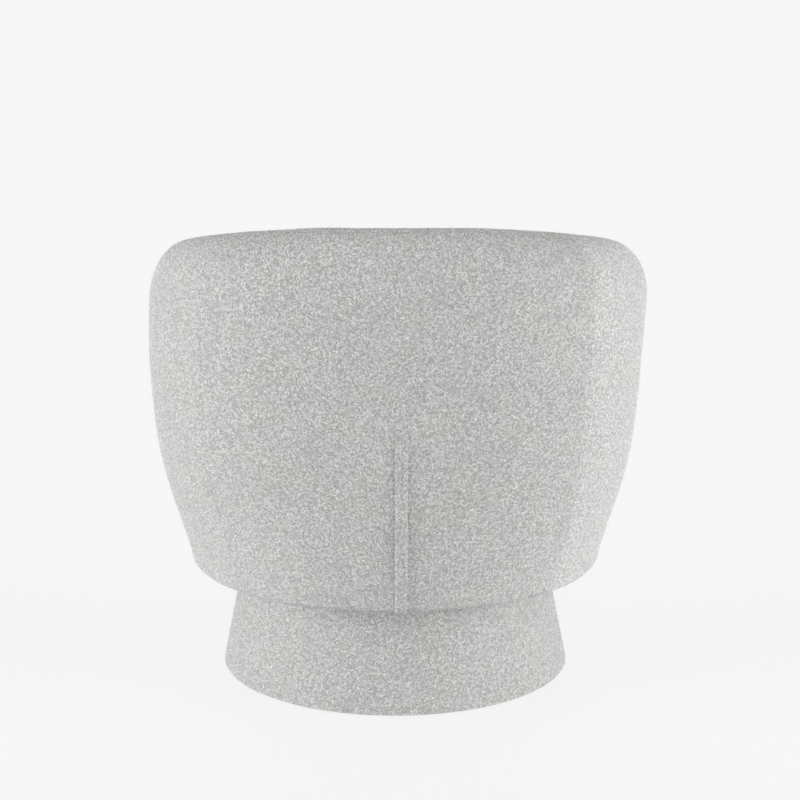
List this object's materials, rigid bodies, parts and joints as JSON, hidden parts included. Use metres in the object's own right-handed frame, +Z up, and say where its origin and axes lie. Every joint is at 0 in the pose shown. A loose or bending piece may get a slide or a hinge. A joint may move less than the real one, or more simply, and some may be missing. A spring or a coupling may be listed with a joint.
{
  "type": "swivel tub chair",
  "caption": "Low upholstered tub chair with a wrap-round padded back and arms, a loose box cushion and a round flared plinth that it swivels on.",
  "frame": {"origin": "on the floor, under the swivel's axis, at the centre of the chair's plan", "axes": "+Z up; the sitter faces -Y, so +Y points out of the back; +X is the sitter's left"},
  "size_m": [0.7676, 0.7299, 0.755],
  "materials": {
    "looped_wool": "matt looped pile, off-white",
    "fibre_wadding": "soft matt",
    "seat_foam": "open-cell, matt",
    "felt_pad": "needled, matt",
    "black_cloth": "matt",
    "zip_tape": "satin",
    "birch_ply": "sanded, raw",
    "liner_board": "raw",
    "zinc_steel": "zinc plated",
    "black_plastic": "fine grain"
  },
  "bodies": {
    "plinth": {"floor_glides": "black_plastic", "plinth_floor_ring": "birch_ply", "plinth_posts": "birch_ply", "plinth_top_board": "birch_ply", "plinth_wall": "liner_board", "plinth_wadding": "fibre_wadding", "plinth_cover": "looped_wool", "plinth_dust_cloth": "black_cloth", "swivel_lower_plate": "zinc_steel", "lower_plate_screws": "zinc_steel", "swivel_ball_cage": "black_plastic", "swivel_balls": "zinc_steel", "swivel_pivot": "zinc_steel"},
    "tub": {"swivel_upper_plate": "zinc_steel", "upper_plate_screws": "zinc_steel", "tub_base_board": "birch_ply", "tub_dust_cloth": "black_cloth", "back_ribs": "birch_ply", "arm_posts": "birch_ply", "front_ribs": "birch_ply", "rib_screws": "zinc_steel", "seat_ring": "birch_ply", "top_rail": "birch_ply", "seat_webbing_long": "black_cloth", "seat_webbing_cross": "black_cloth", "seat_felt": "felt_pad", "outer_liner": "liner_board", "inner_liner": "liner_board", "front_liner": "liner_board", "outer_wadding": "fibre_wadding", "back_foam": "seat_foam", "arm_foam_left": "seat_foam", "arm_foam_right": "seat_foam", "rim_foam": "seat_foam", "arm_front_foam_left": "seat_foam", "arm_front_foam_right": "seat_foam", "front_foam": "seat_foam", "back_cover_left": "looped_wool", "back_cover_right": "looped_wool", "side_cover_left": "looped_wool", "side_cover_right": "looped_wool", "inside_back_cover": "looped_wool", "inside_arm_cover_left": "looped_wool", "inside_arm_cover_right": "looped_wool", "front_cover": "looped_wool", "zip_tapes": "zip_tape", "zip_coil": "zip_tape", "zip_slider": "zinc_steel", "zip_placket": "looped_wool", "cushion_core": "seat_foam", "cushion_top_cover": "looped_wool", "cushion_border": "looped_wool", "cushion_under_cover": "looped_wool"}
  },
  "joints": [
    {"name": "tub_swivel", "type": "hinge", "parent": "plinth", "child": "tub", "pos_m": [0, 0, 0.176], "axis": [0, 0, 1], "continuous": true}
  ]
}
